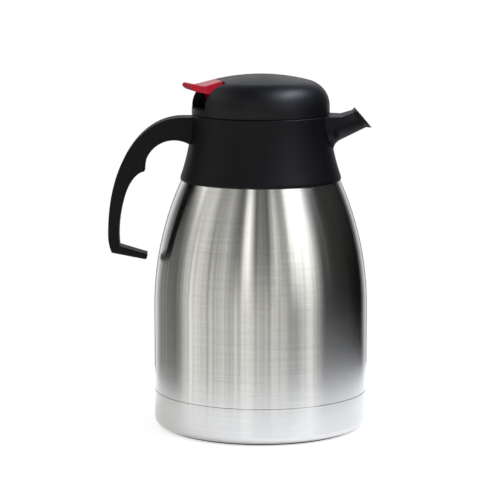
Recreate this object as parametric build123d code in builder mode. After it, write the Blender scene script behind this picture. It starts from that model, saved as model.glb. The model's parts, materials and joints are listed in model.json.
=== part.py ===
from build123d import *
from math import asin, cos, pi, radians, sin, sqrt, tan
import os

# Insulated steel coffee jug with a screw-in stopper that pours at the press of a lever.
# Millimetres. Z is the axis of the jug and Z = 0 the surface that it stands on.
# The spout points along +X and the handle along -X.

# ---- driving dimensions: steel flask ----
body_radius = 69.0          # straight part of the outer wall
straight_top = 78.0         # height where the wall starts to lean in
collar_low = 160.8          # height of the collar's lower edge
waist_out = 16.86           # the steel where it meets the collar, out from the neck
hidden_rise = 1.2           # the lean goes on this far under the collar
shoulder_round = 7.0        # bend from the lean into the flat shoulder
neck_radius = 34.0
neck_round = 4.0
neck_height = 21.0          # from the shoulder to the rolled lip where both skins meet
steel_wall = 0.8
vacuum_gap = 3.2
seam_height = 24.0          # top edge of the base cup
seam_gap = 0.4
cup_fit = 0.1
tongue_low = 8.0            # the outer skin reaches down inside the base cup
flask_floor = 14.0
flask_corner = 12.0
base_round = 4.5
pad_thickness = 1.2
pad_inset = 1.2
pad_edge = 0.3
dish_rise = 2.0
dish_share = 0.75           # the dish stands this share of its rise half way out
dish_flange = 4.0
plug_radius = 4.0
plug_thickness = 1.6
plug_round = 0.8
plug_bore = 1.0             # hole that the flask is pumped out through
getter_radius = 6.0
getter_thickness = 2.0
getter_edge = 0.5
getter_offset = 24.0

# ---- driving dimensions: collar, spout and handle ----
bowl_height = 15.55         # the collar's rim above the steel lip
deck_drop = 4.4             # floor of the pouring bowl below the steel lip
deck_thickness = 2.2
bowl_wall = 2.2
collar_rim_out = 10.4        # the collar's rim, out from the neck
collar_waist_rise = 18.7    # from the lower edge to the middle of the collar's hollow side
collar_waist_out = 13.0      # out from the neck
bead_height = 2.6
bead_crest = 0.9
bead_bulge = 0.15
skirt_gap = 0.15            # between the collar's skirt and the steel
skirt_wall = 0.75
skirt_hollow = 1.5          # hollow behind the skirt, inward from its lower edge
rim_chamfer = 0.4
sleeve_stand = 5.5          # ring under the deck that stands on the steel shoulder, outside the neck
sleeve_wall = 2.0
neck_play = 0.3
gasket_thickness = 1.1
ring_width = 3.4
ring_height = 3.2
ring_fit = 0.05
ring_chamfer = 0.5
ring_notches = 6
notch_radius = 1.6
notch_depth = 1.6
spout_wall = 1.8
spout_side_share = 1 / 3    # the upright sides take this share of the spout's depth
spout_root_inset = 4.4      # the spout starts this far inside the collar's rim
spout_root_width = 36.0
spout_kink_out = 7.3        # from the rim to the kink in the spout's flat top
spout_kink_width = 27.0
spout_kink_drop = 0.65
spout_mouth_out = 9.0       # from the kink to the mouth
spout_mouth_rise = 3.45     # the mouth's top above the collar's rim
spout_mouth_width = 19.0
spout_under_out = 4.6       # a point of the underside, out from the rim and down from it
spout_under_drop = 17.45
spout_slope = 25.5          # degrees that the underside rises
mouth_tilt = 41.0           # degrees that the mouth looks up
lip_depth = 2.4
lip_flare = 1.7
throat_round = 8.0          # bend of the underside into the collar
throat_steep = 80.0         # degrees that the bend turns up to
throat_steps = 6
throat_clear = 0.6
seat_cut = 1.4              # flat seat of the handle, inward from the collar's rim
handle_drop = 1.4           # the handle's top below the collar's rim
seat_height = 17.0
handle_width = 21.0
foot_width = 13.5
handle_edge = 1.2
handle_stand = 29.4         # back of the handle, out from the flask
handle_widest = 124.5
handle_level = 7.0          # the top runs level this far out from the seat, then bends down
bend_pull = 27.0            # how long the bend stays level
back_pull = 47.5            # how long the back stays upright
grip_thickness = 7.35
grip_pull = 16.0            # how long the grip stays upright above the foot
grip_bulge = 2.3
hollow_share = 0.74         # how far out the hollow runs on from the finger stop, and its slope
hollow_drop = 1.8
heel_inset = 2.2
heel_rise = 4.5
foot_clear = 4.5            # end of the foot, out from the flask
foot_under = 108.9
foot_end_thickness = 3.75
foot_rise = 9.0             # corner between foot and grip, above the foot's underside
foot_round = 1.1
arch_radius = 19.2          # thumb arch next to the collar
arch_out = 12.4             # its centre, out from the seat and down from the seat's lower edge
arch_drop = 16.8
stop_drop = 0.9             # point of the finger stop, under the middle of the arch
pad_wall = 4.7
pad_rise = 3.8
pad_height = 11.0
handle_screw_radius = 1.7
handle_screw_length = 16.0
handle_head_radius = 2.8
handle_head_height = 2.0
handle_head_round = 0.5
handle_screw_rise = 2.4
handle_screw_spacing = 6.4
pilot_fit = 0.03

# ---- driving dimensions: stopper, lever and valve ----
lid_turn = 16.0             # degrees that the tightened stopper stands past the handle
lid_gap = 0.7
dome_inset = 0.1
dome_height = 25.05
dome_skirt = 4.75           # upright part of the dome's side
dome_shoulder_round = 16.8
dome_wall = 2.0
slot_width = 32.0
slot_depth = 16.7           # slot for the lever, inward from the dome's side
slot_sill = 3.75            # its floor above the dome's lower edge
post_radius = 3.4
post_inset = 10.3           # screw posts, inward from the dome's side
post_angles = (75.0, 180.0, 285.0)
pocket_margin = 1.5
dome_screw_radius = 1.2
dome_screw_grip = 9.0
dome_head_radius = 2.4
dome_head_height = 1.6
tube_play = 1.4             # between the stopper's tube and the flask's mouth
tube_wall = 2.0
tube_depth = 23.0
seat_cap_height = 4.0
seat_cap_floor = 2.0
valve_opening = 13.0
seal_thickness = 1.3
flange_inset = 1.0
flange_thickness = 2.0
flange_fit = 0.05
seal_play = 0.3
stopper_deck_drop = 2.55    # below the collar's rim
stopper_deck_thickness = 2.0
stopper_deck_play = 0.7
stopper_wall_height = 2.6
window_sill = 1.3           # bottom of the pouring windows above the flange
window_height = 6.8
window_count = 8
window_rib = 4.0
window_cut = 6.0            # depth of the cut through the curved wall
stem_radius = 3.0
stem_fit = 0.05
guide_radius = 6.0
guide_height = 4.5
stem_head_over = 2.0        # top of the stem's head above the lever's pin
stem_head_radius = 6.5
stem_head_height = 3.0
stem_head_round = 0.75
stem_socket = 1.5
seal_land = 5.0             # the poppet covers its opening by this much all round
poppet_thickness = 2.4
poppet_boss_radius = 5.5
poppet_boss_height = 6.0
valve_seal_width = 4.5
valve_seal_thickness = 1.5
seat_rest = 0.05
stem_seal_radius = 5.0
stem_seal_height = 2.0
spring_radius = 7.4
spring_wire = 0.55
spring_turns = 6
pivot_inset = 2.4           # the lever's pin, out from the slot's inner end and up from its floor
pivot_rise = 7.0
pin_radius = 1.5
pin_fit = 0.05
lever_skin = 2.4
lever_low_width = 26.8      # the lever's sides are drafted, wider at their lower edge
lever_top_width = 19.0
lever_tip_out = 19.0        # tip of the thumb paddle, out from the pin and up from it
lever_tip_up = 9.6
lever_tip_round = 1.2
lever_knee_out = 16.7       # lower corner behind the tip
lever_knee_up = 5.2
lever_fold_out = 11.0       # fold between the paddle and the cover of the slot
lever_fold_up = 7.9
lever_end_in = 2.0          # inner end of the cover, in from the pin and up from it
lever_end_up = 11.1
lever_skirt_out = 7.4       # lowest corner of the side skirts
lever_skirt_up = 3.2
lever_pocket_out = 14.8     # the hollow underneath ends here
hub_radius = 3.6
hub_gap = 7.0               # half the free width between the lever's two hubs
hub_width = 3.0
ear_width = 3.0
ear_gap = 0.3
ear_radius = 4.0
arm_thickness = 3.3
arm_play = 0.3              # between the arm and the stem's head
arm_past_axis = 1.5         # the fork tips reach this far past the stem's axis
fork_width = 13.0
fork_slot = 6.9
fork_depth = 7.0

# ---- worked out from the values above ----
waist_radius = neck_radius + waist_out
waist_step = body_radius - waist_radius
lean_radius = ((collar_low - straight_top) ** 2 + waist_step**2) / (2 * waist_step)
lean_axis = body_radius - lean_radius
lean_angle = asin((collar_low + hidden_rise - straight_top) / lean_radius)
turn_reach = lean_axis + (lean_radius - shoulder_round) * cos(lean_angle)
turn_height = straight_top + (lean_radius - shoulder_round) * sin(lean_angle)
shoulder_top = turn_height + shoulder_round
lip_top = shoulder_top + neck_height
flask_inset = steel_wall + vacuum_gap
mouth_radius = neck_radius - flask_inset - steel_wall
skirt_radius = waist_radius + skirt_gap
cup_low = pad_thickness
tongue_radius = body_radius - steel_wall - cup_fit
collar_top = lip_top + bowl_height
collar_waist_height = collar_low + collar_waist_rise
collar_waist_radius = neck_radius + collar_waist_out
collar_rim_radius = neck_radius + collar_rim_out
deck_top = lip_top - deck_drop
deck_low = deck_top - deck_thickness
sleeve_radius = neck_radius + sleeve_stand
bowl_low_radius = collar_waist_radius - bowl_wall
bowl_top_radius = collar_rim_radius - bowl_wall
spout_root_reach = collar_rim_radius - spout_root_inset
spout_kink_reach = collar_rim_radius + spout_kink_out
spout_mouth_reach = spout_kink_reach + spout_mouth_out
handle_seat = collar_rim_radius - seat_cut
handle_top = collar_top - handle_drop
handle_reach = body_radius + handle_stand
grip_inner = handle_reach - grip_thickness
seat_low = handle_top - seat_height
arch_reach = handle_seat + arch_out
arch_height = seat_low - arch_drop
pad_low = seat_low + pad_rise
handle_screw_low = pad_low + handle_screw_rise
screw_heights = (handle_screw_low, handle_screw_low + handle_screw_spacing)
head_seat = handle_seat - pad_wall
dome_low = collar_top + lid_gap
dome_top = dome_low + dome_height
dome_radius = collar_rim_radius - dome_inset
dome_shoulder_height = dome_low + dome_skirt
shoulder_reach = dome_radius - dome_shoulder_round
crown_rise = dome_height - dome_skirt
crown_round = (shoulder_reach**2 + crown_rise**2 - dome_shoulder_round**2) / (
    2 * (crown_rise - dome_shoulder_round)
)
crown_axis = dome_top - crown_round
slot_inner = dome_radius - slot_depth
slot_floor = dome_low + slot_sill
post_reach = dome_radius - post_inset
tube_radius = mouth_radius - tube_play
tube_low = lip_top - tube_depth
flange_reach = neck_radius - flange_inset
flange_low = lip_top + seal_thickness
stopper_deck_low = collar_top - stopper_deck_drop
deck_high = stopper_deck_low + stopper_deck_thickness
stopper_deck_radius = bowl_top_radius - stopper_deck_play
window_low = flange_low + flange_thickness + window_sill
seat_top = tube_low - seat_cap_height + seat_cap_floor
poppet_radius = valve_opening + seal_land
poppet_low = seat_top + seat_rest + valve_seal_thickness
pivot_reach = slot_inner + pivot_inset
pivot_height = slot_floor + pivot_rise
stem_head_low = pivot_height + stem_head_over - stem_head_height
arm_low = stem_head_low - arm_play - arm_thickness


def skin(inset, low, high, mode=Mode.ADD):
    """Half section inside one steel skin, the same distance in from the jug's surface all over."""
    lean = lean_radius - inset
    turn = shoulder_round - inset
    half_way = (lean_angle + pi / 2) / 2
    with BuildLine() as outline:
        Polyline((0, high), (0, low), (body_radius - inset, low), (body_radius - inset, straight_top))
        ThreePointArc(
            (body_radius - inset, straight_top),
            (lean_axis + lean * cos(lean_angle / 2), straight_top + lean * sin(lean_angle / 2)),
            (lean_axis + lean * cos(lean_angle), straight_top + lean * sin(lean_angle)),
        )
        ThreePointArc(
            (turn_reach + turn * cos(lean_angle), turn_height + turn * sin(lean_angle)),
            (turn_reach + turn * cos(half_way), turn_height + turn * sin(half_way)),
            (turn_reach, turn_height + turn),
        )
        Line((turn_reach, turn_height + turn), (neck_radius + neck_round, turn_height + turn))
        ThreePointArc(
            (neck_radius + neck_round, shoulder_top - inset),
            (
                neck_radius + neck_round - (neck_round + inset) * sin(pi / 4),
                shoulder_top + neck_round - (neck_round + inset) * sin(pi / 4),
            ),
            (neck_radius - inset, shoulder_top + neck_round),
        )
        Polyline((neck_radius - inset, shoulder_top + neck_round), (neck_radius - inset, high), (0, high))
    make_face(outline.edges(), mode=mode)


def ring_section(inner, outer, low, high, mode=Mode.ADD):
    """Rectangle of a ring's half section."""
    with Locations(((inner + outer) / 2, (low + high) / 2)):
        Rectangle(outer - inner, high - low, mode=mode)


def dome_section(inset, low, mode=Mode.ADD):
    """Half section of the dome, crown and shoulder as tangent arcs."""
    shoulder = dome_shoulder_round - inset
    crown = crown_round - inset
    tilt = asin(shoulder_reach / (crown_round - dome_shoulder_round))
    half_way = tilt / 2 + pi / 4
    with BuildLine() as outline:
        Polyline(
            (0, crown_axis + crown),
            (0, low),
            (dome_radius - inset, low),
            (dome_radius - inset, dome_shoulder_height),
        )
        ThreePointArc(
            (dome_radius - inset, dome_shoulder_height),
            (
                shoulder_reach + shoulder * sin(half_way),
                dome_shoulder_height + shoulder * cos(half_way),
            ),
            (crown * sin(tilt), crown_axis + crown * cos(tilt)),
        )
        ThreePointArc(
            (crown * sin(tilt), crown_axis + crown * cos(tilt)),
            (crown * sin(tilt / 2), crown_axis + crown * cos(tilt / 2)),
            (0, crown_axis + crown),
        )
    make_face(outline.edges(), mode=mode)


def finish(builder, name):
    """Labels a finished piece and writes it."""
    builder.part.label = name
    export_step(builder.part, f"parts/{name}.step")


os.makedirs("parts", exist_ok=True)

# ---- steel flask ----

with BuildPart() as outer_shell:
    with BuildSketch(Plane.XZ):
        skin(0, seam_height + seam_gap, lip_top - steel_wall)
        ring_section(0, tongue_radius, tongue_low, seam_height + seam_gap + steel_wall)
        skin(steel_wall, seam_height + seam_gap + steel_wall, lip_top, mode=Mode.SUBTRACT)
        ring_section(
            0, tongue_radius - steel_wall, tongue_low, seam_height + seam_gap + steel_wall, Mode.SUBTRACT
        )
    revolve(axis=Axis.Z)
finish(outer_shell, "outer_shell")

with BuildPart() as inner_flask:
    with BuildSketch(Plane.XZ):
        skin(flask_inset, flask_floor, lip_top)
    revolve(axis=Axis.Z)
    fillet(inner_flask.edges().group_by(Axis.Z)[0], flask_corner)
    offset(amount=-steel_wall, openings=inner_flask.faces().sort_by(Axis.Z)[-1])
    with BuildSketch(Plane.XY.offset(lip_top)):
        Circle(neck_radius)
        Circle(mouth_radius, mode=Mode.SUBTRACT)
    extrude(amount=-steel_wall)
finish(inner_flask, "inner_flask")

with BuildPart() as shell_bottom:
    bottom_radius = tongue_radius - steel_wall
    with BuildSketch(Plane.XZ):
        with BuildLine():
            Polyline((0, tongue_low + dish_rise), (plug_radius, tongue_low + dish_rise))
            ThreePointArc(
                (plug_radius, tongue_low + dish_rise),
                (bottom_radius / 2, tongue_low + dish_rise * dish_share),
                (bottom_radius - dish_flange, tongue_low),
            )
            Polyline(
                (bottom_radius - dish_flange, tongue_low),
                (bottom_radius, tongue_low),
                (bottom_radius, tongue_low + dish_flange),
                (bottom_radius - steel_wall, tongue_low + dish_flange),
                (bottom_radius - steel_wall, tongue_low + steel_wall),
                (bottom_radius - dish_flange, tongue_low + steel_wall),
            )
            ThreePointArc(
                (bottom_radius - dish_flange, tongue_low + steel_wall),
                (bottom_radius / 2, tongue_low + steel_wall + dish_rise * dish_share),
                (plug_radius, tongue_low + dish_rise + steel_wall),
            )
            Polyline(
                (plug_radius, tongue_low + dish_rise + steel_wall),
                (0, tongue_low + dish_rise + steel_wall),
                (0, tongue_low + dish_rise),
            )
        make_face()
    revolve(axis=Axis.Z)
    with BuildSketch(Plane.XY.offset(tongue_low + dish_rise)):
        Circle(plug_bore)
    extrude(amount=steel_wall, mode=Mode.SUBTRACT)
finish(shell_bottom, "shell_bottom")

with BuildPart() as vacuum_plug:
    with BuildSketch(Plane.XY.offset(tongue_low + dish_rise)):
        Circle(plug_radius)
    extrude(amount=-plug_thickness)
    fillet(vacuum_plug.edges().group_by(Axis.Z)[0], plug_round)
finish(vacuum_plug, "vacuum_plug")

with BuildPart() as getter:
    with BuildSketch(Plane.XY.offset(flask_floor)):
        with Locations((getter_offset, 0)):
            Circle(getter_radius)
    extrude(amount=-getter_thickness)
    chamfer(getter.edges().group_by(Axis.Z)[0], getter_edge)
finish(getter, "getter")

with BuildPart() as base_cup:
    with BuildSketch(Plane.XY.offset(cup_low)):
        Circle(body_radius)
    extrude(amount=seam_height - cup_low)
    fillet(base_cup.edges().group_by(Axis.Z)[0], base_round)
    offset(amount=-steel_wall, openings=base_cup.faces().sort_by(Axis.Z)[-1])
finish(base_cup, "base_cup")

with BuildPart() as base_pad:
    with BuildSketch():
        Circle(body_radius - base_round - pad_inset)
    extrude(amount=pad_thickness)
    chamfer(base_pad.edges().group_by(Axis.Z)[0], pad_edge)
finish(base_pad, "base_pad")

# ---- collar with the pouring bowl and the spout ----

under_slope = radians(spout_slope)
mouth_plane = Plane(
    (spout_mouth_reach, 0, collar_top + spout_mouth_rise),
    x_dir=(0, 1, 0),
    z_dir=(cos(radians(mouth_tilt)), 0, sin(radians(mouth_tilt))),
)


def under_height(reach):
    """Height of the spout's underside at a distance from the axis."""
    rise = (reach - collar_rim_radius - spout_under_out) * tan(under_slope)
    return collar_top - spout_under_drop + rise


def spout_section(plane, width, height, inset=0.0):
    """Spout cross-section: flat top, short sides and a round underside."""
    half = width / 2 - inset
    side = height * spout_side_share
    with BuildSketch(plane) as section:
        with BuildLine():
            Polyline((-half, -side), (-half, -inset), (half, -inset), (half, -side))
            ThreePointArc((half, -side), (0, inset - height), (-half, -side))
        make_face()
    return section.sketch


def spout_width(reach):
    """Width of the spout between the collar and the kink in its top."""
    share = (reach - spout_root_reach) / (spout_kink_reach - spout_root_reach)
    return spout_root_width + share * (spout_kink_width - spout_root_width)


def upright_section(reach, under, inset):
    """Vertical section between the collar and the kink, from the flat top down to a given height."""
    share = (reach - spout_root_reach) / (spout_kink_reach - spout_root_reach)
    top = collar_top - rim_chamfer + share * (rim_chamfer - spout_kink_drop)
    plane = Plane((reach, 0, top), x_dir=(0, 1, 0), z_dir=(1, 0, 0))
    return spout_section(plane, spout_width(reach), top - under, inset)


def spout_end(inset):
    """Kink section, section behind the lip and the mouth itself."""
    mouth_down = mouth_plane.y_dir
    length = (collar_top + spout_mouth_rise - under_height(spout_mouth_reach)) / (
        mouth_down.Z - mouth_down.X * tan(under_slope)
    )
    flare = 0.0 if inset else lip_flare
    return [
        upright_section(spout_kink_reach, under_height(spout_kink_reach), inset),
        spout_section(mouth_plane.offset(-lip_depth), spout_mouth_width, length - lip_flare / 2, inset),
        spout_section(mouth_plane, spout_mouth_width + flare, length + flare, inset),
    ]


def throat_sections():
    """Sections through the bend that carries the underside down into the collar."""
    steep = radians(throat_steep)
    bend_angles = [
        under_slope + (steep - under_slope) * step / throat_steps for step in range(throat_steps + 1)
    ]
    bend_start = spout_kink_reach - throat_clear
    sections = []
    for angle in reversed(bend_angles):
        reach = bend_start - throat_round * (sin(angle) - sin(under_slope))
        under = under_height(bend_start) - throat_round * (cos(under_slope) - cos(angle))
        sections.append(upright_section(reach, under, 0.0))
    low = under_height(bend_start) - throat_round * (cos(under_slope) - cos(steep))
    return [upright_section(spout_root_reach, low, 0.0)] + sections


with BuildPart() as collar:
    with BuildSketch(Plane.XZ):
        with BuildLine():
            bead_radius = skirt_radius + skirt_wall - bead_bulge
            Polyline((0, collar_top), (0, collar_low), (bead_radius, collar_low))
            ThreePointArc(
                (bead_radius, collar_low),
                (bead_radius + bead_bulge, collar_low + bead_crest),
                (bead_radius - bead_bulge, collar_low + bead_height),
            )
            ThreePointArc(
                (bead_radius - bead_bulge, collar_low + bead_height),
                (collar_waist_radius, collar_waist_height),
                (collar_rim_radius, collar_top),
            )
            Line((collar_rim_radius, collar_top), (0, collar_top))
        make_face()
    revolve(axis=Axis.Z)
    chamfer(collar.edges().group_by(Axis.Z)[-1], rim_chamfer)
    loft(throat_sections() + spout_end(0.0), ruled=True)
    # inside: the skirt over the steel, the sleeve that stands on its shoulder, and the bowl
    with BuildSketch(Plane.XZ):
        with BuildLine():
            Polyline(
                (sleeve_radius + sleeve_wall, deck_low),
                (sleeve_radius + sleeve_wall, collar_low),
                (skirt_radius, collar_low),
                (skirt_radius - skirt_hollow, collar_low + bead_height + hidden_rise),
                (bowl_low_radius, deck_low),
                close=True,
            )
        make_face()
        ring_section(0, sleeve_radius, collar_low, deck_low)
        ring_section(0, sleeve_radius + sleeve_wall, collar_low, shoulder_top)
        with BuildLine():
            Polyline(
                (0, collar_top),
                (0, deck_low),
                (neck_radius + neck_play, deck_low),
                (neck_radius + neck_play, deck_top),
                (bowl_low_radius, deck_top),
                (bowl_top_radius, collar_top),
                close=True,
            )
        make_face()
    revolve(axis=Axis.Z, mode=Mode.SUBTRACT)
    channel_root = upright_section(spout_root_reach, under_height(spout_root_reach), spout_wall)
    loft([channel_root] + spout_end(spout_wall), ruled=True, mode=Mode.SUBTRACT)
    # thick pad inside the bowl behind the handle, its flat seat outside and the screw holes
    with BuildSketch(Plane.YZ.offset(-handle_seat)):
        with Locations((0, pad_low + pad_height / 2)):
            Rectangle(handle_width, pad_height)
    extrude(amount=pad_wall)
    with BuildSketch(Plane.YZ.offset(-handle_seat)):
        with Locations((0, seat_low + seat_height / 2)):
            Rectangle(handle_width, seat_height)
    extrude(amount=-pad_wall, mode=Mode.SUBTRACT)
    with BuildSketch(Plane.YZ.offset(-handle_seat)):
        with Locations([(0, screw_height) for screw_height in screw_heights]):
            Circle(handle_screw_radius + pilot_fit)
    extrude(amount=pad_wall, mode=Mode.SUBTRACT)
finish(collar, "collar")

with BuildPart() as neck_gasket:
    with BuildSketch(Plane.XZ):
        ring_section(neck_radius + neck_play, neck_radius + ring_width, deck_top, deck_top + gasket_thickness)
    revolve(axis=Axis.Z)
finish(neck_gasket, "neck_gasket")

with BuildPart() as neck_ring:
    ring_low = deck_top + gasket_thickness
    with BuildSketch(Plane.XZ):
        ring_section(neck_radius + ring_fit, neck_radius + ring_width, ring_low, ring_low + ring_height)
    revolve(axis=Axis.Z)
    chamfer(neck_ring.edges().group_by(Axis.Z)[-1].sort_by(SortBy.RADIUS)[-1], ring_chamfer)
    with BuildSketch(Plane.XY.offset(ring_low + ring_height)):
        with PolarLocations(neck_radius + ring_width, ring_notches):
            Circle(notch_radius)
    extrude(amount=-notch_depth, mode=Mode.SUBTRACT)
finish(neck_ring, "neck_ring")

with BuildPart() as handle:
    level_end = handle_seat + handle_level
    heel = (-handle_reach + heel_inset, foot_under + heel_rise)
    foot_reach = body_radius + foot_clear
    corner = (-grip_inner, foot_under + foot_rise)
    stop = (-arch_reach - arch_radius, arch_height - stop_drop)
    arch_end = arch_reach - sqrt(arch_radius**2 - (seat_low - arch_height) ** 2)
    with BuildSketch(Plane.XZ.offset(-handle_width / 2)):
        with BuildLine():
            Line((-handle_seat, handle_top), (-level_end, handle_top))
            Bezier(
                (-level_end, handle_top),
                (-level_end - bend_pull, handle_top),
                (-handle_reach, handle_widest + back_pull),
                (-handle_reach, handle_widest),
            )
            TangentArc((-handle_reach, handle_widest), heel, tangent=(0, -1))
            Polyline(
                heel,
                (-foot_reach, foot_under),
                (-foot_reach, foot_under + foot_end_thickness),
                corner,
            )
            Bezier(
                corner,
                (corner[0] - grip_bulge, corner[1] + grip_pull),
                (stop[0] - hollow_share * (stop[0] - corner[0]), stop[1] - hollow_drop),
                stop,
            )
            Line(stop, (stop[0], arch_height))
            ThreePointArc(
                (stop[0], arch_height),
                (-arch_reach - arch_radius * cos(pi / 4), arch_height + arch_radius * sin(pi / 4)),
                (-arch_end, seat_low),
            )
            Polyline((-arch_end, seat_low), (-handle_seat, seat_low), (-handle_seat, handle_top))
        make_face()
    extrude(amount=handle_width)
    # seen from behind it narrows from the seat down to the foot
    foot_half = (foot_width - (handle_width - foot_width) * foot_rise / (seat_low - foot_under)) / 2
    with BuildSketch(Plane.YZ):
        with BuildLine():
            Polyline(
                (handle_width / 2, collar_top),
                (-handle_width / 2, collar_top),
                (-handle_width / 2, seat_low),
                (-foot_half, foot_under - foot_rise),
                (foot_half, foot_under - foot_rise),
                (handle_width / 2, seat_low),
                close=True,
            )
        make_face()
    extrude(amount=handle_reach + handle_width, both=True, mode=Mode.INTERSECT)
    fillet(handle.edges().filter_by(Axis.Y).group_by(Axis.Z)[0], foot_round)
    seat = handle.faces().sort_by(Axis.X)[-1]
    sides = handle.faces().filter_by(lambda face: abs(face.normal_at().Y) > cos(pi / 4))
    rims = sides.edges() - seat.edges() - sides.sort_by(Axis.Z)[-2:].edges().filter_by(Axis.X)
    fillet(rims, handle_edge)
    with BuildSketch(Plane.YZ.offset(-handle_seat)):
        with Locations([(0, screw_height) for screw_height in screw_heights]):
            Circle(handle_screw_radius)
    extrude(amount=-handle_screw_length, mode=Mode.SUBTRACT)
finish(handle, "handle")

with BuildPart() as handle_screws:
    with BuildSketch(Plane.YZ.offset(-head_seat)):
        with Locations([(0, screw_height) for screw_height in screw_heights]):
            Circle(handle_screw_radius - pilot_fit)
    extrude(amount=-(pad_wall + handle_screw_length - handle_head_height))
    with BuildSketch(Plane.YZ.offset(-head_seat)):
        with Locations([(0, screw_height) for screw_height in screw_heights]):
            Circle(handle_head_radius)
    extrude(amount=handle_head_height)
    fillet(handle_screws.edges().group_by(Axis.X)[-1], handle_head_round)
finish(handle_screws, "handle_screws")

# ---- stopper ----

# Radial plane through the lever: x is the distance from the axis and y the height.
lever_side = Plane(
    (0, 0, 0),
    x_dir=(-cos(radians(lid_turn)), -sin(radians(lid_turn)), 0),
    z_dir=(-sin(radians(lid_turn)), cos(radians(lid_turn)), 0),
)


def lever_level(height):
    """Horizontal plane whose x runs from the axis towards the lever."""
    return Plane((0, 0, height), x_dir=lever_side.x_dir, z_dir=(0, 0, 1))


with BuildPart() as stopper_gasket:
    with BuildSketch(Plane.XZ):
        ring_section(tube_radius + seal_play, flange_reach, lip_top, lip_top + seal_thickness)
    revolve(axis=Axis.Z)
finish(stopper_gasket, "stopper_gasket")

with BuildPart() as stopper_body:
    bore_radius = tube_radius - tube_wall
    with BuildSketch(Plane.XZ):
        ring_section(bore_radius, tube_radius, tube_low, deck_high)
        ring_section(bore_radius, flange_reach, flange_low + flange_fit, flange_low + flange_thickness)
        ring_section(stem_radius + stem_fit, stopper_deck_radius, stopper_deck_low, deck_high)
        ring_section(stem_radius + stem_fit, guide_radius, stopper_deck_low, deck_high + guide_height)
        ring_section(
            stopper_deck_radius - tube_wall,
            stopper_deck_radius,
            stopper_deck_low,
            deck_high + stopper_wall_height,
        )
        seal_top = stopper_deck_low + stem_seal_height / 2
        ring_section(0, stem_seal_radius, stopper_deck_low, seal_top, Mode.SUBTRACT)
    revolve(axis=Axis.Z)
    with BuildSketch(lever_level(stopper_deck_low)):
        for angle in post_angles:
            with PolarLocations(post_reach, 1, start_angle=angle):
                Circle(dome_screw_radius + pilot_fit)
    extrude(amount=stopper_deck_thickness, mode=Mode.SUBTRACT)
    # windows around the tube, so that it pours whichever way the stopper stands
    window_width = 2 * pi * tube_radius / window_count - window_rib
    with BuildSketch(Plane.XY.offset(window_low)):
        with PolarLocations(tube_radius - tube_wall / 2, window_count):
            Rectangle(window_cut, window_width)
    extrude(amount=window_height, mode=Mode.SUBTRACT)
    # ears that carry the lever's pin
    with BuildSketch(lever_side) as ear_sketch:
        with Locations((pivot_reach, pivot_height)):
            Circle(ear_radius)
        with Locations((pivot_reach, (pivot_height + deck_high) / 2)):
            Rectangle(2 * ear_radius, pivot_height - deck_high)
        with Locations((pivot_reach, pivot_height)):
            Circle(pin_radius + pilot_fit, mode=Mode.SUBTRACT)
    ear_near = hub_gap + hub_width + ear_gap
    for side in (1, -1):
        ear_plane = Location(lever_side.z_dir * side * ear_near)
        extrude(ear_sketch.sketch.moved(ear_plane), amount=side * ear_width)
finish(stopper_body, "stopper_body")

with BuildPart() as valve_seat_cap:
    cap_low = tube_low - seat_cap_height
    with BuildSketch(Plane.XZ):
        ring_section(valve_opening, tube_radius, cap_low, seat_top)
        ring_section(bore_radius - tube_wall, tube_radius, cap_low, tube_low)
        ring_section(bore_radius - tube_wall, bore_radius - pilot_fit, seat_top, tube_low + seat_cap_height)
    revolve(axis=Axis.Z)
    chamfer(valve_seat_cap.edges().group_by(Axis.Z)[0].sort_by(SortBy.RADIUS), ring_chamfer)
finish(valve_seat_cap, "valve_seat_cap")

with BuildPart() as stem_seal:
    with BuildSketch(Plane.XZ):
        ring_section(
            stem_radius + stem_fit,
            stem_seal_radius - pilot_fit,
            stopper_deck_low - stem_seal_height / 2,
            stopper_deck_low + stem_seal_height / 2,
        )
    revolve(axis=Axis.Z)
finish(stem_seal, "stem_seal")

with BuildPart() as dome_hollow:
    with BuildSketch(Plane.XZ):
        dome_section(dome_wall, dome_low)
    revolve(axis=Axis.Z)
    # left standing in it: the walls and floor of the pocket under the lever, and the screw posts
    pocket_middle = slot_inner + slot_depth / 2
    with BuildSketch(lever_level(slot_floor - dome_wall)):
        with Locations((pocket_middle, 0)):
            Rectangle(slot_depth, slot_width + 2 * dome_wall)
            Rectangle(slot_depth, slot_width, mode=Mode.SUBTRACT)
    extrude(amount=dome_top - slot_floor, mode=Mode.SUBTRACT)
    with BuildSketch(lever_level(slot_floor - dome_wall)):
        with Locations((pivot_reach + ear_radius + pocket_margin + slot_depth / 2, 0)):
            Rectangle(slot_depth, slot_width)
    extrude(amount=dome_wall, mode=Mode.SUBTRACT)
    with BuildSketch(lever_level(dome_low)):
        for angle in post_angles:
            with PolarLocations(post_reach, 1, start_angle=angle):
                Circle(post_radius)
    extrude(amount=dome_top - dome_low, mode=Mode.SUBTRACT)

with BuildPart() as lid_dome:
    with BuildSketch(Plane.XZ):
        dome_section(0, dome_low)
    revolve(axis=Axis.Z)
    add(dome_hollow.part, mode=Mode.SUBTRACT)
    with BuildSketch(lever_level(slot_floor)):
        with Locations((slot_inner + dome_radius / 2, 0)):
            Rectangle(dome_radius, slot_width)
    extrude(amount=dome_top - slot_floor, mode=Mode.SUBTRACT)
    with BuildSketch(lever_level(deck_high)):
        for angle in post_angles:
            with PolarLocations(post_reach, 1, start_angle=angle):
                Circle(post_radius)
    extrude(amount=dome_low - deck_high)
    with BuildSketch(lever_level(deck_high)):
        for angle in post_angles:
            with PolarLocations(post_reach, 1, start_angle=angle):
                Circle(dome_screw_radius + pilot_fit)
    extrude(amount=dome_screw_grip, mode=Mode.SUBTRACT)
finish(lid_dome, "lid_dome")

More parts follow.
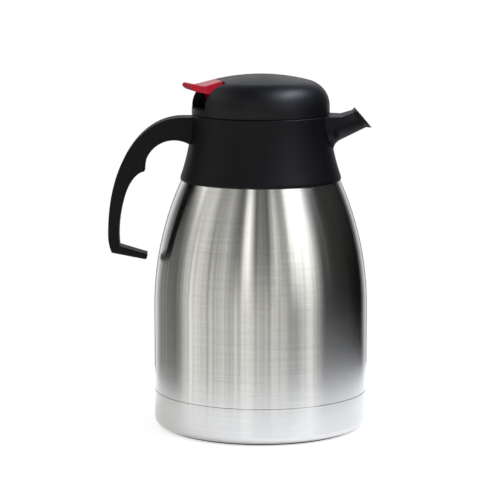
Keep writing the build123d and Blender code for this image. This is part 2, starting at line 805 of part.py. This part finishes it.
with BuildPart() as dome_screws:
    with BuildSketch(lever_level(stopper_deck_low)):
        for angle in post_angles:
            with PolarLocations(post_reach, 1, start_angle=angle):
                Circle(dome_screw_radius)
    extrude(amount=stopper_deck_thickness + dome_screw_grip)
    with BuildSketch(lever_level(stopper_deck_low)):
        for angle in post_angles:
            with PolarLocations(post_reach, 1, start_angle=angle):
                Circle(dome_head_radius)
    extrude(amount=-dome_head_height)
finish(dome_screws, "dome_screws")

pin_half = hub_gap + hub_width + ear_gap + ear_width

with BuildPart() as lever_pin:
    with BuildSketch(lever_side):
        with Locations((pivot_reach, pivot_height)):
            Circle(pin_radius)
    extrude(amount=pin_half, both=True)
finish(lever_pin, "lever_pin")

# ---- lever ----

def at_pin(out, up):
    """Point of the lever's side view, out from its pin and up from it."""
    return (pivot_reach + out, pivot_height + up)


with BuildPart() as lever:
    # solid outline from the side: paddle outside the fold, cover of the slot inside it, and skirts
    with BuildSketch(lever_side):
        with BuildLine():
            Polyline(
                at_pin(lever_tip_out, lever_tip_up),
                at_pin(lever_fold_out, lever_fold_up),
                at_pin(-lever_end_in, lever_end_up),
                at_pin(-lever_end_in, lever_end_up - lever_skin),
                at_pin(lever_skirt_out, lever_skirt_up),
                at_pin(lever_knee_out, lever_knee_up),
                at_pin(lever_tip_out, lever_tip_up - lever_skin - pin_fit),
                close=True,
            )
        make_face()
    extrude(amount=lever_low_width / 2, both=True)
    # drafted sides
    with BuildSketch(Plane((0, 0, 0), x_dir=-lever_side.z_dir, z_dir=lever_side.x_dir)):
        with BuildLine():
            Polyline(
                (-lever_low_width / 2, pivot_height + lever_skirt_up),
                (lever_low_width / 2, pivot_height + lever_skirt_up),
                (lever_top_width / 2, pivot_height + lever_end_up),
                (-lever_top_width / 2, pivot_height + lever_end_up),
                close=True,
            )
        make_face()
    extrude(amount=pivot_reach + lever_tip_out, mode=Mode.INTERSECT)
    across = lever.edges().filter_by(Axis((0, 0, 0), lever_side.z_dir))
    fillet(across.sort_by(lambda edge: edge.center().dot(lever_side.x_dir))[-2:], lever_tip_round)
    # hollow underneath, between the skirts
    with BuildSketch(lever_side):
        with BuildLine():
            Polyline(
                at_pin(lever_pocket_out, lever_fold_up - lever_skin),
                at_pin(lever_fold_out, lever_fold_up - lever_skin),
                at_pin(-lever_end_in, lever_end_up - lever_skin),
                at_pin(-lever_end_in, 0),
                at_pin(lever_pocket_out, 0),
                close=True,
            )
        make_face()
    extrude(amount=lever_top_width / 2 - lever_skin, both=True, mode=Mode.SUBTRACT)
    # hubs on the pin, webbed to the cover
    with BuildSketch(lever_side) as hub_sketch:
        with Locations((pivot_reach, pivot_height)):
            Circle(hub_radius)
        with BuildLine():
            Polyline(
                at_pin(-hub_radius, 0),
                at_pin(-hub_radius / 2, lever_end_up - lever_skin),
                at_pin(lever_skirt_out, lever_fold_up - lever_skin / 2),
                at_pin(hub_radius, 0),
                close=True,
            )
        make_face()
    for side in (1, -1):
        extrude(
            hub_sketch.sketch.moved(Location(lever_side.z_dir * side * hub_gap)), amount=side * hub_width
        )
    # arm to the valve stem, forked at its end
    with BuildSketch(lever_level(arm_low)):
        with BuildLine():
            Polyline(
                (pivot_reach, hub_gap + hub_width),
                (-arm_past_axis, fork_width / 2),
                (-arm_past_axis, -fork_width / 2),
                (pivot_reach, -hub_gap - hub_width),
                close=True,
            )
        make_face()
        with Locations((fork_depth - arm_past_axis - fork_slot / 2, 0)):
            Circle(fork_slot / 2, mode=Mode.SUBTRACT)
        with Locations(((fork_depth - fork_slot / 2) / 2 - arm_past_axis, 0)):
            Rectangle(fork_depth - fork_slot / 2, fork_slot, mode=Mode.SUBTRACT)
    extrude(amount=arm_thickness)
    with BuildSketch(lever_side):
        with Locations((pivot_reach, pivot_height)):
            Circle(pin_radius + pin_fit)
    extrude(amount=lever_low_width, both=True, mode=Mode.SUBTRACT)
finish(lever, "lever")

# ---- valve ----

with BuildPart() as poppet:
    with BuildSketch(Plane.XZ):
        ring_section(0, poppet_radius, poppet_low, poppet_low + poppet_thickness)
        ring_section(0, poppet_boss_radius, poppet_low, poppet_low + poppet_thickness + poppet_boss_height)
        ring_section(
            0, poppet_radius - valve_seal_width - pilot_fit, poppet_low - valve_seal_thickness / 2, poppet_low
        )
        ring_section(
            0,
            stem_radius + pilot_fit,
            poppet_low + poppet_thickness,
            poppet_low + poppet_thickness + poppet_boss_height,
            Mode.SUBTRACT,
        )
    revolve(axis=Axis.Z)
finish(poppet, "poppet")

with BuildPart() as valve_seal:
    with BuildSketch(Plane.XZ):
        ring_section(poppet_radius - valve_seal_width, poppet_radius, seat_top + seat_rest, poppet_low)
    revolve(axis=Axis.Z)
finish(valve_seal, "valve_seal")

with BuildPart() as stem_head:
    with BuildSketch(Plane.XZ):
        ring_section(0, stem_head_radius, stem_head_low, stem_head_low + stem_head_height)
        ring_section(
            0, stem_radius + pilot_fit, stem_head_low, stem_head_low + stem_socket, Mode.SUBTRACT
        )
    revolve(axis=Axis.Z)
    fillet(stem_head.edges().group_by(Axis.Z)[-1], stem_head_round)
finish(stem_head, "stem_head")

with BuildPart() as valve_stem:
    with BuildSketch(Plane.XY.offset(poppet_low + poppet_thickness)):
        Circle(stem_radius)
    extrude(amount=stem_head_low + stem_socket - poppet_low - poppet_thickness)
finish(valve_stem, "valve_stem")

with BuildPart() as valve_spring:
    spring_low = poppet_low + poppet_thickness + spring_wire
    spring_high = stopper_deck_low - spring_wire
    with BuildLine():
        coil = Helix(
            pitch=(spring_high - spring_low) / spring_turns,
            height=spring_high - spring_low,
            radius=spring_radius,
            center=(0, 0, spring_low),
        )
    with BuildSketch(Plane(origin=coil @ 0, z_dir=coil % 0)):
        Circle(spring_wire)
    sweep()
finish(valve_spring, "valve_spring")
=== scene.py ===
import json
from math import cos, pi, radians, sin

import bpy
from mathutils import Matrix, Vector

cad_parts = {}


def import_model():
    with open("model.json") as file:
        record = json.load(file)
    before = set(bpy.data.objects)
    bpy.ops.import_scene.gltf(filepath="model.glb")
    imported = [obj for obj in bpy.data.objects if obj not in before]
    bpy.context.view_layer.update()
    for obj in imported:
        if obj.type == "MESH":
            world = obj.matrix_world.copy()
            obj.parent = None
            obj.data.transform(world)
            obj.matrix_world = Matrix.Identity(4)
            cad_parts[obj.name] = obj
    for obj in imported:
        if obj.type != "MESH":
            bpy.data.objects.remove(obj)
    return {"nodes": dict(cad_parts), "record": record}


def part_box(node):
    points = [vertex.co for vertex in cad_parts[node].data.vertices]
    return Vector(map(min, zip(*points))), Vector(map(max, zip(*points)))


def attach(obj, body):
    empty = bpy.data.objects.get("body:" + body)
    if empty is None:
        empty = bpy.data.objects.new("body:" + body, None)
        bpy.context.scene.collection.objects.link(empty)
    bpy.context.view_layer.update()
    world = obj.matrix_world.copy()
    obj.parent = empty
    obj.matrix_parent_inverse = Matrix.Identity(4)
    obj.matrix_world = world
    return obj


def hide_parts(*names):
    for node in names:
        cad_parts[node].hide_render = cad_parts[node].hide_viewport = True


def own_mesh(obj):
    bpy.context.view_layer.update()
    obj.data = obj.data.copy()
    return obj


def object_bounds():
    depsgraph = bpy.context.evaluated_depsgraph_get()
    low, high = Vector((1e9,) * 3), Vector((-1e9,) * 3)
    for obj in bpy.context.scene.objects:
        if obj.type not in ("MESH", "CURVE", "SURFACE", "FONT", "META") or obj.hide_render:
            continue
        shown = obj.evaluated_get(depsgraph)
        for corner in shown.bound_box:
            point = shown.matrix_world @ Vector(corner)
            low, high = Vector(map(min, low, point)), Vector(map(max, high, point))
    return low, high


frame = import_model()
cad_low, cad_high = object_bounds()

# Finishes, spring, thread and studio of an insulated steel jug with a screw-in stopper.
# Metres. Z is the jug's axis, the spout points along +X and the camera looks along +Y.

nodes = frame["nodes"]


# ---- helpers for node trees ----

class Graph:
    """A node tree with short ways to add nodes and to join them."""

    def __init__(self, tree):
        self.tree = tree

    def feed(self, socket, value):
        """Links an output socket, or sets a plain value."""
        if isinstance(value, bpy.types.NodeSocket):
            self.tree.links.new(value, socket)
        else:
            socket.default_value = value

    def node(self, kind, settings=None, **inputs):
        """Adds a node; settings are its properties and inputs its socket values or links."""
        made = self.tree.nodes.new(kind)
        for key, value in (settings or {}).items():
            setattr(made, key, value)
        for key, value in inputs.items():
            self.feed(made.inputs[key.replace("_", " ")], value)
        return made

    def math(self, operation, first, second=0.0):
        made = self.node("ShaderNodeMath", {"operation": operation})
        self.feed(made.inputs[0], first)
        self.feed(made.inputs[1], second)
        return made.outputs[0]

    def blend(self, factor, first, second):
        """Mixes two colours."""
        made = self.node("ShaderNodeMix", {"data_type": "RGBA"}, Factor=factor)
        self.feed(made.inputs[6], first)
        self.feed(made.inputs[7], second)
        return made.outputs[2]

    def carry(self, value, start, end, low=0.0, high=1.0, curve="LINEAR"):
        """Carries start..end over to low..high."""
        made = self.node(
            "ShaderNodeMapRange",
            {"interpolation_type": curve},
            Value=value, From_Min=start, From_Max=end, To_Min=low, To_Max=high,
        )
        return made.outputs["Result"]


class Shader(Graph):
    """One node material around a Principled shader."""

    def __init__(self, name):
        self.material = bpy.data.materials.new(name)
        self.material.use_nodes = True
        super().__init__(self.material.node_tree)
        self.bsdf = self.tree.nodes["Principled BSDF"]

    def set(self, **inputs):
        """Sets the Principled shader's own sockets."""
        for key, value in inputs.items():
            self.feed(self.bsdf.inputs[key.replace("_", " ")], value)

    def place(self, stretch=(1.0, 1.0, 1.0)):
        """The piece's own coordinates in metres, stretched by a factor for each axis."""
        coordinates = self.node("ShaderNodeTexCoord").outputs["Object"]
        return self.node("ShaderNodeMapping", Vector=coordinates, Scale=stretch).outputs["Vector"]

    def noise(self, scale, stretch=(1.0, 1.0, 1.0), detail=3.0, roughness=0.5):
        made = self.node(
            "ShaderNodeTexNoise", Vector=self.place(stretch), Scale=scale, Detail=detail, Roughness=roughness
        )
        return made.outputs["Fac"]

    def vary(self, pattern, low, high):
        """Carries the middle of a noise pattern over to low..high."""
        return self.carry(pattern, *NOISE_MIDDLE, low, high)

    def waver(self, pattern, value, share):
        """Varies a value by a share up and down with a noise pattern."""
        return self.vary(pattern, value * (1 - share), value * (1 + share))

    def bump(self, height, depth, strength):
        """Bump of a 0..1 pattern, depth in metres."""
        return self.node("ShaderNodeBump", Height=height, Strength=strength, Distance=depth).outputs["Normal"]


NOISE_MIDDLE = (0.3, 0.7)   # nearly all values of a noise pattern lie in this range


def rgb(red, green, blue):
    return (red, green, blue, 1.0)


def scaled(colour, factor, lift=0.0):
    """A lighter or darker shade of a colour."""
    return rgb(*(min(1.0, part * factor + lift) for part in colour))


# ---- finishes ----

# Scales of the noise patterns, in cells for each metre.
SCRATCHES = 900.0
PORES = 2600.0
CLOUDS = 45.0
RUBBING = 160.0
RIPPLES = 120.0
HANDLING = 700.0
MOTTLING = 1400.0
# Depths of the bump, in metres.
BRUSHED_DEPTH = 0.000012
SCRATCH_DEPTH = 0.00001
PORE_DEPTH = 0.00002
RIPPLE_DEPTH = 0.00002
MOTTLE_DEPTH = 0.00003

BRUSHED_LINES = (30.0, 30.0, 2400.0)    # brushing runs round the body: long sideways, fine in height
BRUSHED_BANDS = (20.0, 20.0, 1100.0)
HANDLED_SMEARS = (26.0, 26.0, 9.0)
BRUSHED_TURN = 0.25         # a quarter turn draws the reflections out along the height
BRUSHED_DARK = 0.89         # darkest and lightest streaks, against the steel's colour
BRUSHED_LIGHT = 1.05
SMEAR = 0.01                # handling makes the steel duller or brighter by this much roughness
RUBBED = 0.03               # and the plastic by this much


def brushed_steel(name, colour, rough, stretch):
    """Steel brushed round the body: its reflections are drawn out along the height."""
    shader = Shader(name)
    lines = shader.noise(1.0, BRUSHED_LINES, detail=4.0, roughness=0.7)
    bands = shader.noise(1.0, BRUSHED_BANDS, detail=3.0, roughness=0.6)
    smears = shader.noise(1.0, HANDLED_SMEARS, detail=2.0)
    streaked = shader.math("ADD", shader.math("MULTIPLY", lines, 0.5), shader.math("MULTIPLY", bands, 0.5))
    around = shader.node("ShaderNodeTangent", {"direction_type": "RADIAL", "axis": "Z"}).outputs[0]
    shader.set(
        Metallic=1.0,
        Base_Color=shader.blend(
            shader.vary(streaked, 0.0, 1.0), scaled(colour, BRUSHED_DARK), scaled(colour, BRUSHED_LIGHT)
        ),
        Roughness=shader.math("ADD", shader.waver(streaked, rough, 0.05), shader.vary(smears, -SMEAR, SMEAR)),
        Anisotropic=stretch,
        Anisotropic_Rotation=BRUSHED_TURN,
        Tangent=around,
        Normal=shader.bump(lines, BRUSHED_DEPTH, 0.5),
    )
    return shader.material


def plain_steel(name, colour, rough):
    """Drawn or turned steel with faint scratches."""
    shader = Shader(name)
    scratches = shader.noise(SCRATCHES, (1.0, 1.0, 0.2), detail=4.0)
    shader.set(
        Metallic=1.0,
        Base_Color=rgb(*colour),
        Roughness=shader.waver(scratches, rough, 0.2),
        Normal=shader.bump(scratches, SCRATCH_DEPTH, 0.4),
    )
    return shader.material


def moulded_plastic(name, colour, rough, level):
    """Moulded plastic: fine eroded grain, slightly uneven gloss and faint rubbed patches."""
    shader = Shader(name)
    pores = shader.noise(PORES, detail=2.0)
    clouds = shader.noise(CLOUDS, detail=3.0)
    rubbed = shader.noise(RUBBING, (1.0, 1.0, 0.35), detail=5.0, roughness=0.7)
    shader.set(
        Base_Color=shader.blend(shader.vary(clouds, 0.0, 1.0), rgb(*colour), scaled(colour, 1.25, 0.0006)),
        Roughness=shader.math("ADD", shader.waver(clouds, rough, 0.05), shader.vary(rubbed, -RUBBED, RUBBED)),
        Specular_IOR_Level=level,
        Normal=shader.bump(pores, PORE_DEPTH, 0.5),
    )
    return shader.material


PADDLE_START = 0.0405       # the lever's thumb paddle lies outside this distance from the jug's axis
PADDLE_EDGE = 0.001
PADDLE_ROUGH = 0.4          # and is duller than the rest by this much
RED_ROUGH = (0.14, 0.19)
DEEP_RED = rgb(0.36, 0.0002, 0.011)
BRIGHT_RED = rgb(0.40, 0.0003, 0.014)


def red_gloss(name):
    """Polished red plastic with a dull thumb paddle."""
    shader = Shader(name)
    ripples = shader.noise(RIPPLES, detail=2.0)
    handled = shader.noise(HANDLING, detail=4.0)
    out = shader.node("ShaderNodeVectorMath", {"operation": "LENGTH"}, Vector=shader.place((1.0, 1.0, 0.0)))
    paddle = shader.carry(out.outputs["Value"], PADDLE_START, PADDLE_START + PADDLE_EDGE, 0.0, PADDLE_ROUGH)
    shader.set(
        Base_Color=shader.blend(shader.vary(ripples, 0.0, 1.0), DEEP_RED, BRIGHT_RED),
        Roughness=shader.math("ADD", shader.vary(handled, *RED_ROUGH), paddle),
        Specular_IOR_Level=0.12,
        Normal=shader.bump(ripples, RIPPLE_DEPTH, 0.2),
    )
    return shader.material


def soft_rubber(name, colour, rough):
    """Rubber, silicone or solder glass, with fine mottling."""
    shader = Shader(name)
    mottle = shader.noise(MOTTLING, detail=3.0)
    shader.set(
        Base_Color=shader.blend(mottle, rgb(*colour), scaled(colour, 1.2)),
        Roughness=shader.waver(mottle, rough, 0.1),
        Normal=shader.bump(mottle, MOTTLE_DEPTH, 0.4),
    )
    return shader.material


flask_steel = plain_steel("steel_flask", (0.62, 0.61, 0.59), rough=0.3)
pin_steel = plain_steel("steel_pin", (0.6, 0.6, 0.6), rough=0.2)
inner_black = moulded_plastic("inner_black", (0.0065, 0.0065, 0.0072), rough=0.4, level=0.22)

FINISHES = {
    "brushed_steel": brushed_steel("steel_brushed_round", (0.66, 0.645, 0.615), rough=0.175, stretch=1.0),
    "flask_steel": flask_steel,
    "getter_metal": flask_steel,
    "screw_steel": pin_steel,
    "pin_steel": pin_steel,
    "spring_steel": pin_steel,
    "stem_steel": pin_steel,
    "collar_plastic": moulded_plastic("collar_black", (0.0026, 0.0026, 0.0034), rough=0.46, level=0.18),
    "lid_plastic": moulded_plastic("lid_black", (0.0026, 0.0026, 0.0036), rough=0.40, level=0.27),
    "handle_plastic": moulded_plastic("handle_black", (0.0036, 0.0036, 0.0044), rough=0.48, level=0.15),
    "inner_plastic": inner_black,
    "lever_plastic": red_gloss("lever_red"),
    "pad_rubber": soft_rubber("pad_rubber", (0.006, 0.006, 0.006), rough=0.8),
    "silicone": soft_rubber("silicone_grey", (0.42, 0.42, 0.41), rough=0.5),
    "solder_glass": soft_rubber("solder_glass", (0.05, 0.055, 0.05), rough=0.3),
}

CREASE = radians(24)        # sharper edges than this stay sharp


def dress_nodes():
    """Gives each CAD node the finish of its material slot, smooth between its creases."""
    for part in frame["record"]["subparts"]:
        mesh = nodes[part["node"]].data
        mesh.materials.clear()
        mesh.materials.append(FINISHES[part["material_slot"]])
        mesh.shade_smooth()
        mesh.set_sharp_from_angle(angle=CREASE)


# ---- pieces drawn finer than the CAD nodes ----

def wire(name, path, radius, material, rounding=2):
    """Round wire swept along points, with closed ends."""
    curve = bpy.data.curves.new(name, "CURVE")
    curve.dimensions = "3D"
    curve.bevel_depth = radius
    curve.bevel_resolution = rounding
    curve.use_fill_caps = True
    line = curve.splines.new("POLY")
    line.points.add(len(path) - 1)
    for point, place in zip(line.points, path):
        point.co = (*place, 1.0)
    holder = bpy.data.objects.new(name + "_curve", curve)
    bpy.context.scene.collection.objects.link(holder)
    mesh = bpy.data.meshes.new_from_object(holder.evaluated_get(bpy.context.evaluated_depsgraph_get()))
    bpy.data.objects.remove(holder)
    made = bpy.data.objects.new(name, mesh)
    bpy.context.scene.collection.objects.link(made)
    mesh.materials.clear()
    mesh.materials.append(material)
    mesh.shade_smooth()
    return made


SPRING_WIRE = 0.00055       # radius of the wire
SPRING_TURNS = 7.5
SPRING_STEPS = 28           # points for each turn
CLOSED_TURNS = 0.9          # closed coils at each end


def valve_spring():
    """Coil spring with closed ends, carried by the stopper."""
    low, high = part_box("valve_spring")
    reach = (high.x - low.x) / 2 - SPRING_WIRE
    bottom, top = low.z + SPRING_WIRE, high.z - SPRING_WIRE
    closed = 2 * SPRING_WIRE
    steps = int(SPRING_TURNS * SPRING_STEPS)
    path = []
    for step in range(steps + 1):
        turn = SPRING_TURNS * step / steps
        if turn < CLOSED_TURNS:
            height = bottom + closed * turn / CLOSED_TURNS
        elif turn > SPRING_TURNS - CLOSED_TURNS:
            height = top - closed * (SPRING_TURNS - turn) / CLOSED_TURNS
        else:
            open_share = (turn - CLOSED_TURNS) / (SPRING_TURNS - 2 * CLOSED_TURNS)
            height = bottom + closed + (top - bottom - 2 * closed) * open_share
        path.append((reach * cos(2 * pi * turn), reach * sin(2 * pi * turn), height))
    made = wire("valve_spring_coil", path, SPRING_WIRE, pin_steel)
    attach(made, "stopper")
    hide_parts("valve_spring")
    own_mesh(made)


THREAD_STARTS = 2
THREAD_LEAD = 0.018         # rise of each rib in one turn
THREAD_ARC = 0.8            # turns of each rib
THREAD_STEPS = 48
THREAD_RIB = 0.0008         # radius of the rib, half sunk in the tube
THREAD_DROP = 0.002         # the ribs start this far below the top of the valve's seat cap


def stopper_thread():
    """Low screw ribs round the stopper's tube, inside the flask's mouth."""
    _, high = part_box("valve_seat_cap")
    reach, start = high.x, high.z - THREAD_DROP
    for rib in range(THREAD_STARTS):
        path = []
        for step in range(THREAD_STEPS + 1):
            turn = THREAD_ARC * step / THREAD_STEPS
            angle = 2 * pi * (turn + rib / THREAD_STARTS)
            path.append((reach * cos(angle), reach * sin(angle), start + THREAD_LEAD * turn))
        made = wire(f"stopper_thread_{rib + 1}", path, THREAD_RIB, inner_black)
        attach(made, "stopper")


# ---- stage: floor, world, lamps and camera ----

FLOOR_RADIUS = 0.2
FLOOR_ASIDE = 0.015         # the floor reaches further on the spout's side
FLOOR_SIDES = 96
FLOOR_GREY = rgb(0.86, 0.86, 0.86)
FLOOR_LIFT = 0.5            # seen directly, the floor is lifted to white and keeps the shadow
MIRROR_LIFT = 0.3           # and seen in steel it is lifted less


def floor():
    """Round pale floor that ends where the white surroundings take over."""
    bpy.ops.mesh.primitive_circle_add(
        vertices=FLOOR_SIDES, radius=FLOOR_RADIUS, fill_type="NGON", location=(FLOOR_ASIDE, 0, cad_low.z)
    )
    disc = bpy.context.object
    disc.name = "stage_floor"
    shader = Shader("stage_floor_white")
    path = shader.node("ShaderNodeLightPath")
    direct = shader.math("MULTIPLY", path.outputs["Is Camera Ray"], FLOOR_LIFT)
    mirrored = shader.math("MULTIPLY", path.outputs["Is Glossy Ray"], MIRROR_LIFT)
    shader.set(
        Base_Color=FLOOR_GREY,
        Roughness=0.7,
        Specular_IOR_Level=0.1,
        Emission_Color=rgb(1.0, 1.0, 1.0),
        Emission_Strength=shader.math("ADD", direct, mirrored),
    )
    disc.data.materials.append(shader.material)


# Tall studio strips round the jug: (azimuth in degrees from the camera's side, brightness).
UPPER_STRIPS = (
    (-180, 0.8), (-163, 0.8), (-152, 1.0), (-141, 0.12), (-125, 0.03), (-110, 0.1), (-101, 0.3), (-92, 0.7),
    (-80, 0.75), (-69, 0.9), (-60, 0.42), (-42, 0.6), (-33, 0.35), (-26, 0.07), (-21, 0.7), (-16, 2.1),
    (-11, 0.9), (-7, 0.15), (0, 0.3), (8, 0.12), (14, 0.5), (19, 1.3), (24, 0.42), (31, 0.45),
    (37, 1.8), (60, 1.8), (66, 0.6), (72, 0.15), (92, 0.05), (150, 0.03), (168, 1.0), (180, 0.8),
)
LOWER_STRIPS = (
    (-180, 0.0), (-171, 0.05), (-160, 1.0), (-140, 0.32), (-118, 0.26), (-105, 0.15), (-93, 0.5), (-83, 1.1),
    (-70, 0.85), (-46, 0.74), (-30, 0.74), (-15, 0.95), (-6, 0.82), (4, 0.6), (15, 0.75), (23, 0.75),
    (32, 0.32), (40, 0.22), (49, 0.65), (56, 0.85), (64, 0.35), (72, 0.04), (95, 0.02), (140, 0.0),
    (160, 0.9), (171, 0.05), (180, 0.0),
)
SIDE_START = 125            # degrees from the camera's side where the tint changes
FRONT_TINT = (0.985, 0.995, 0.97)
SIDE_TINT = (0.97, 0.99, 1.02)
FINE_STRIPS = 100.0         # fine strips over the broad ones, in one turn
FINE_DEPTH = 0.9
# Heights below are the Z of the direction looked in, from -1 to 1.
STRIP_CHANGE = (-0.12, 0.3)     # the lower strips pass into the upper ones
CEILING_START = (0.6, 0.85)     # and these into the dark ceiling
DARK_DOOR = (0.455, 0.475)      # edge of a dark gap behind the jug, in turns from the camera's side
DOOR_TOP = (0.08, 0.14)
CEILING = (0.1, 0.1, 0.12)
SOFT_LIGHT = (0.62, 0.63, 0.66)


def strips(graph, share, stops):
    """Colour round the jug; share runs from 0 to 1 over the turn."""
    node = graph.node("ShaderNodeValToRGB", Fac=share)
    ramp = node.color_ramp.elements
    while len(ramp) > 1:
        ramp.remove(ramp[-1])
    for index, (angle, level) in enumerate(stops):
        place = (angle + 180) / 360
        stop = ramp[0] if index == 0 else ramp.new(place)
        stop.position = place
        tint = SIDE_TINT if abs(angle) > SIDE_START else FRONT_TINT
        stop.color = rgb(*(level * part for part in tint))
    return node.outputs["Color"]


def finely_striped(graph, colour, share):
    """Fine uneven strips over a colour."""
    noise = graph.node(
        "ShaderNodeTexNoise", {"noise_dimensions": "1D"}, W=share, Scale=FINE_STRIPS, Detail=2.0
    )
    level = graph.math("ADD", graph.math("MULTIPLY", noise.outputs["Fac"], 2 * FINE_DEPTH), 1.0 - FINE_DEPTH)
    return graph.node("ShaderNodeVectorMath", {"operation": "SCALE"}, Vector=colour, Scale=level).outputs[0]


def world():
    """Banded studio for reflections, plain soft light for the rest and white for the camera."""
    made = bpy.data.worlds.new("studio")
    bpy.context.scene.world = made
    made.use_nodes = True
    graph = Graph(made.node_tree)
    direction = graph.node("ShaderNodeTexCoord").outputs["Generated"]
    parts = graph.node("ShaderNodeSeparateXYZ", Vector=direction).outputs
    azimuth = graph.math("ARCTAN2", parts["X"], graph.math("MULTIPLY", parts["Y"], -1.0))
    share = graph.math("ADD", graph.math("DIVIDE", azimuth, 2 * pi), 0.5)
    height = parts["Z"]

    upward = graph.carry(height, *STRIP_CHANGE, curve="SMOOTHSTEP")
    walls = graph.blend(upward, strips(graph, share, LOWER_STRIPS), strips(graph, share, UPPER_STRIPS))
    turned = graph.math("ABSOLUTE", graph.math("SUBTRACT", share, 0.5))
    behind = graph.carry(turned, *DARK_DOOR, curve="SMOOTHSTEP")
    below = graph.math("SUBTRACT", 1.0, graph.carry(height, *DOOR_TOP, curve="SMOOTHSTEP"))
    walls = graph.blend(graph.math("MULTIPLY", behind, below), walls, rgb(0.0, 0.0, 0.0))
    overhead = graph.carry(height, *CEILING_START, curve="SMOOTHSTEP")
    room = graph.blend(overhead, finely_striped(graph, walls, share), rgb(*CEILING))

    path = graph.node("ShaderNodeLightPath").outputs
    soft = graph.blend(path["Is Diffuse Ray"], room, rgb(*SOFT_LIGHT))
    seen = graph.blend(path["Is Camera Ray"], soft, rgb(1.0, 1.0, 1.0))
    graph.feed(graph.tree.nodes["Background"].inputs["Color"], seen)


def soft_box(name, azimuth, elevation, distance, size, power, colour=(1.0, 1.0, 1.0)):
    """Area lamp aimed at the middle of the jug, azimuth from the camera's side towards the spout."""
    lamp = bpy.data.lights.new(name, "AREA")
    lamp.shape = "RECTANGLE"
    lamp.size, lamp.size_y = size
    lamp.energy = power
    lamp.color = colour
    made = bpy.data.objects.new(name, lamp)
    bpy.context.scene.collection.objects.link(made)
    middle = (cad_low + cad_high) / 2
    away = Vector((sin(azimuth) * cos(elevation), -cos(azimuth) * cos(elevation), sin(elevation)))
    made.location = middle + away * distance
    made.rotation_euler = (-away).to_track_quat("-Z", "Y").to_euler()


CAMERA_DISTANCE = 1.4617
CAMERA_HEIGHT = 0.3432
CAMERA_ASIDE = -0.0069
CAMERA_DOWN = radians(8.9)
LENS = 164.4
SENSOR = 36.0


def camera():
    """Long lens a little above the lid, looking slightly down."""
    lens = bpy.data.cameras.new("camera")
    lens.lens = LENS
    lens.sensor_width = SENSOR
    made = bpy.data.objects.new("camera", lens)
    bpy.context.scene.collection.objects.link(made)
    made.location = (CAMERA_ASIDE, -CAMERA_DISTANCE, CAMERA_HEIGHT)
    made.rotation_euler = (pi / 2 - CAMERA_DOWN, 0.0, 0.0)
    bpy.context.scene.camera = made


# ---- the scene ----

dress_nodes()
valve_spring()
stopper_thread()
floor()
world()
soft_box(
    "key_lamp", azimuth=radians(80), elevation=radians(57), distance=1.6, size=(1.0, 0.42), power=24.0,
    colour=(0.78, 0.85, 1.0),
)
soft_box("fill_lamp", azimuth=radians(-110), elevation=radians(40), distance=1.9, size=(1.2, 1.0), power=3.5)
camera()
bpy.context.scene.view_settings.view_transform = "Standard"
